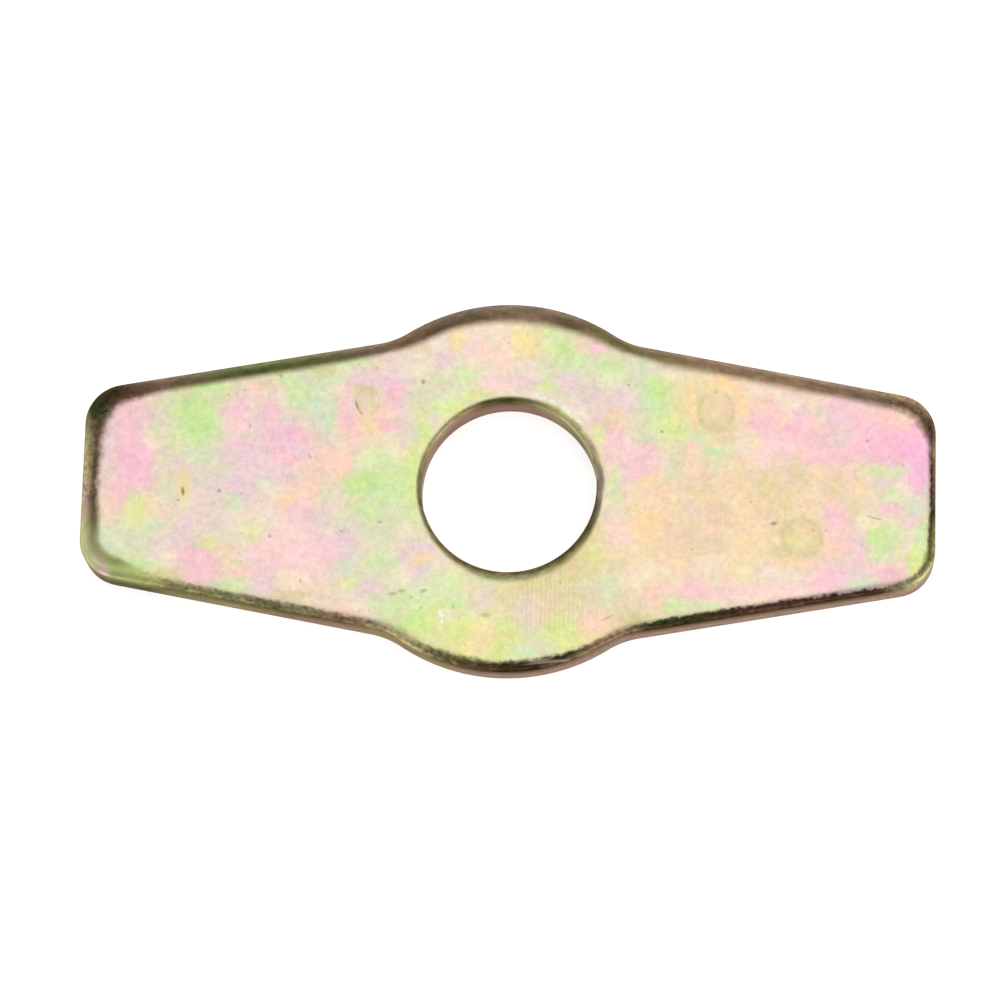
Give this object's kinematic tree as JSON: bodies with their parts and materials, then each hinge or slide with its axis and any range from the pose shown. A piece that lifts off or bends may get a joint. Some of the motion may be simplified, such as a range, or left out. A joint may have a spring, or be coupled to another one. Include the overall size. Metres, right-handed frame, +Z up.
{
  "type": "wing washer",
  "caption": "Flat plated steel washer with a round hub, a central bolt hole and a tapered wing on each side.",
  "frame": {"origin": "on the bolt hole's axis, at the flat underside", "axes": "+X along the wings, +Y across them, +Z up out of the face with the rounded edges"},
  "size_m": [0.05, 0.0222, 0.0025],
  "materials": {
    "yellow_zinc_steel": "zinc plate with a pale yellow iridescent chromate, satin, darker on the rolled edges"
  },
  "bodies": {
    "root": {"wing_washer": "yellow_zinc_steel"}
  },
  "joints": []
}
